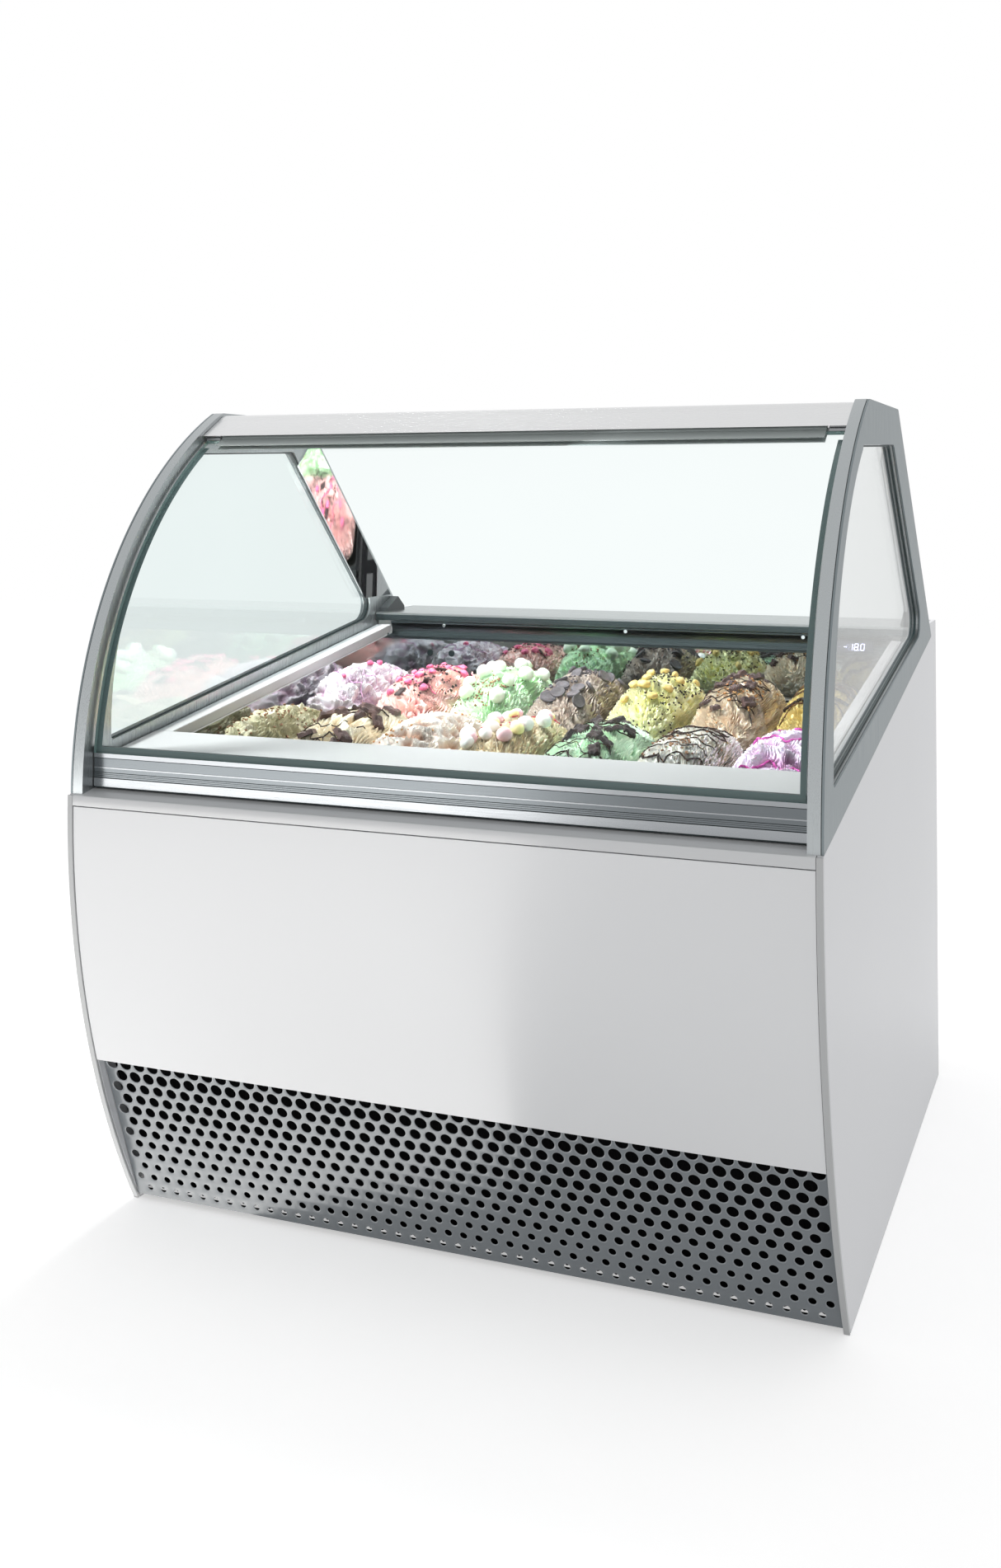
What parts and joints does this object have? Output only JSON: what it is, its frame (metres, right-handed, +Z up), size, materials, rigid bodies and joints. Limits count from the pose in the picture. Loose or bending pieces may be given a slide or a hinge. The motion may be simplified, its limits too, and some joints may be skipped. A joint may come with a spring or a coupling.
{
  "type": "ice cream dipping cabinet",
  "caption": "Curved-glass ice cream dipping cabinet with lift-out pans, a lifting front glass, mirrored rear wall and a perforated front grille.",
  "frame": {"origin": "middle of the cabinet's base, on the floor", "axes": "+Z up, +X to the viewer's right, +Y to the server's side; the curved glass faces -Y"},
  "size_m": [1.3, 1.276, 1.435],
  "materials": {
    "painted_body": "semi-gloss powder coat",
    "painted_front": "semi-gloss white",
    "grille": "perforated, satin grey",
    "ledge": "satin",
    "rail_aluminium": "brushed along its length",
    "bright_profile": "bright anodised",
    "clear_glass": "clear, pale green edges",
    "gasket_rubber": "dark, soft",
    "frame_aluminium": "satin anodised",
    "polished_steel": "mirror polished",
    "elbow_plastic": "moulded dark grey",
    "bar_aluminium": "pale satin",
    "deck_plastic": "smooth, pale",
    "tank_liner": "smooth white",
    "black_steel": "satin black",
    "counter_steel": "brushed",
    "mirror_wall": "polished, slightly soft",
    "strip_steel": "brushed",
    "display_window": "glossy display window with pale violet digits",
    "chassis_paint": "matt grey",
    "coil_aluminium": "finned",
    "fan_plastic": "moulded",
    "switch_plastic": "moulded",
    "inlet_plastic": "moulded",
    "screw_steel": "polished",
    "pan_steel": "satin, worn",
    "cookie_cream": "ice cream, soft and slightly wet",
    "chocolate_chunk_cream": "ice cream, soft and slightly wet",
    "meringue_white": "ice cream, soft and slightly wet",
    "marshmallow_cream": "ice cream, soft and slightly wet",
    "mint_chocolate": "ice cream, soft and slightly wet",
    "hazelnut_white": "ice cream, soft and slightly wet",
    "lilac_peak": "ice cream, soft and slightly wet",
    "lilac_grey": "ice cream, soft and slightly wet",
    "berry_pink": "ice cream, soft and slightly wet",
    "pistachio_pale": "ice cream, soft and slightly wet",
    "chocolate_brown": "ice cream, soft and slightly wet",
    "lemon_cream": "ice cream, soft and slightly wet",
    "biscuit_beige": "ice cream, soft and slightly wet",
    "caramel_swirl": "ice cream, soft and slightly wet"
  },
  "bodies": {
    "cabinet": {"side_panel_left": "painted_body", "side_panel_right": "painted_body", "front_panel": "painted_front", "front_grille": "grille", "front_ledge": "ledge", "front_rail": "rail_aluminium", "glass_gasket": "gasket_rubber", "side_frame_left": "frame_aluminium", "side_frame_right": "frame_aluminium", "side_glasses": "clear_glass", "pillar_covers": "polished_steel", "elbow_blocks": "elbow_plastic", "top_bar": "bar_aluminium", "hinge_clips": "elbow_plastic", "deck_rim": "deck_plastic", "tank": "tank_liner", "pan_supports": "black_steel", "air_duct": "black_steel", "rear_counter": "counter_steel", "rear_mirror": "mirror_wall", "control_strip": "strip_steel", "display": "display_window", "rear_panel": "painted_body", "chassis": "chassis_paint", "compressor": "black_steel", "condenser": "coil_aluminium", "power_inlet": "inlet_plastic", "wall_screws": "screw_steel"},
    "canopy_glass": {"glass_holder": "bright_profile", "front_glass": "clear_glass"},
    "fan": {"fan_rotor": "fan_plastic"},
    "rocker": {"rocker_switch": "switch_plastic"},
    "tub_front_1": {"pan_front_1": "pan_steel", "gelato_front_1": "cookie_cream"},
    "tub_front_2": {"pan_front_2": "pan_steel", "gelato_front_2": "chocolate_chunk_cream"},
    "tub_front_3": {"pan_front_3": "pan_steel", "gelato_front_3": "meringue_white"},
    "tub_front_4": {"pan_front_4": "pan_steel", "gelato_front_4": "marshmallow_cream"},
    "tub_front_5": {"pan_front_5": "pan_steel", "gelato_front_5": "mint_chocolate"},
    "tub_front_6": {"pan_front_6": "pan_steel", "gelato_front_6": "hazelnut_white"},
    "tub_front_7": {"pan_front_7": "pan_steel", "gelato_front_7": "lilac_peak"},
    "tub_rear_1": {"pan_rear_1": "pan_steel", "gelato_rear_1": "lilac_grey"},
    "tub_rear_2": {"pan_rear_2": "pan_steel", "gelato_rear_2": "berry_pink"},
    "tub_rear_3": {"pan_rear_3": "pan_steel", "gelato_rear_3": "pistachio_pale"},
    "tub_rear_4": {"pan_rear_4": "pan_steel", "gelato_rear_4": "chocolate_brown"},
    "tub_rear_5": {"pan_rear_5": "pan_steel", "gelato_rear_5": "lemon_cream"},
    "tub_rear_6": {"pan_rear_6": "pan_steel", "gelato_rear_6": "biscuit_beige"},
    "tub_rear_7": {"pan_rear_7": "pan_steel", "gelato_rear_7": "caramel_swirl"}
  },
  "joints": [
    {"name": "front_glass_lift", "type": "hinge", "parent": "cabinet", "child": "canopy_glass", "pos_m": [0, -0.27105, 1.38038], "axis": [-1, 0, 0], "range_deg": [0, 30]},
    {"name": "fan_spin", "type": "hinge", "parent": "cabinet", "child": "fan", "pos_m": [0.26, -0.277, 0.235], "axis": [0, 1, 0], "continuous": true},
    {"name": "rocker_tilt", "type": "hinge", "parent": "cabinet", "child": "rocker", "pos_m": [0.455, 0.632, 0.173], "axis": [1, 0, 0], "range_deg": [0, 16]},
    {"name": "tub_front_1_lift", "type": "slide", "parent": "cabinet", "child": "tub_front_1", "axis": [0, -0.0767, 0.9971], "range_m": [0, 0.16]},
    {"name": "tub_front_2_lift", "type": "slide", "parent": "cabinet", "child": "tub_front_2", "axis": [0, -0.0767, 0.9971], "range_m": [0, 0.16]},
    {"name": "tub_front_3_lift", "type": "slide", "parent": "cabinet", "child": "tub_front_3", "axis": [0, -0.0767, 0.9971], "range_m": [0, 0.16]},
    {"name": "tub_front_4_lift", "type": "slide", "parent": "cabinet", "child": "tub_front_4", "axis": [0, -0.0767, 0.9971], "range_m": [0, 0.16]},
    {"name": "tub_front_5_lift", "type": "slide", "parent": "cabinet", "child": "tub_front_5", "axis": [0, -0.0767, 0.9971], "range_m": [0, 0.16]},
    {"name": "tub_front_6_lift", "type": "slide", "parent": "cabinet", "child": "tub_front_6", "axis": [0, -0.0767, 0.9971], "range_m": [0, 0.16]},
    {"name": "tub_front_7_lift", "type": "slide", "parent": "cabinet", "child": "tub_front_7", "axis": [0, -0.0767, 0.9971], "range_m": [0, 0.16]},
    {"name": "tub_rear_1_lift", "type": "slide", "parent": "cabinet", "child": "tub_rear_1", "axis": [0, -0.0767, 0.9971], "range_m": [0, 0.16]},
    {"name": "tub_rear_2_lift", "type": "slide", "parent": "cabinet", "child": "tub_rear_2", "axis": [0, -0.0767, 0.9971], "range_m": [0, 0.16]},
    {"name": "tub_rear_3_lift", "type": "slide", "parent": "cabinet", "child": "tub_rear_3", "axis": [0, -0.0767, 0.9971], "range_m": [0, 0.16]},
    {"name": "tub_rear_4_lift", "type": "slide", "parent": "cabinet", "child": "tub_rear_4", "axis": [0, -0.0767, 0.9971], "range_m": [0, 0.16]},
    {"name": "tub_rear_5_lift", "type": "slide", "parent": "cabinet", "child": "tub_rear_5", "axis": [0, -0.0767, 0.9971], "range_m": [0, 0.16]},
    {"name": "tub_rear_6_lift", "type": "slide", "parent": "cabinet", "child": "tub_rear_6", "axis": [0, -0.0767, 0.9971], "range_m": [0, 0.16]},
    {"name": "tub_rear_7_lift", "type": "slide", "parent": "cabinet", "child": "tub_rear_7", "axis": [0, -0.0767, 0.9971], "range_m": [0, 0.16]}
  ]
}
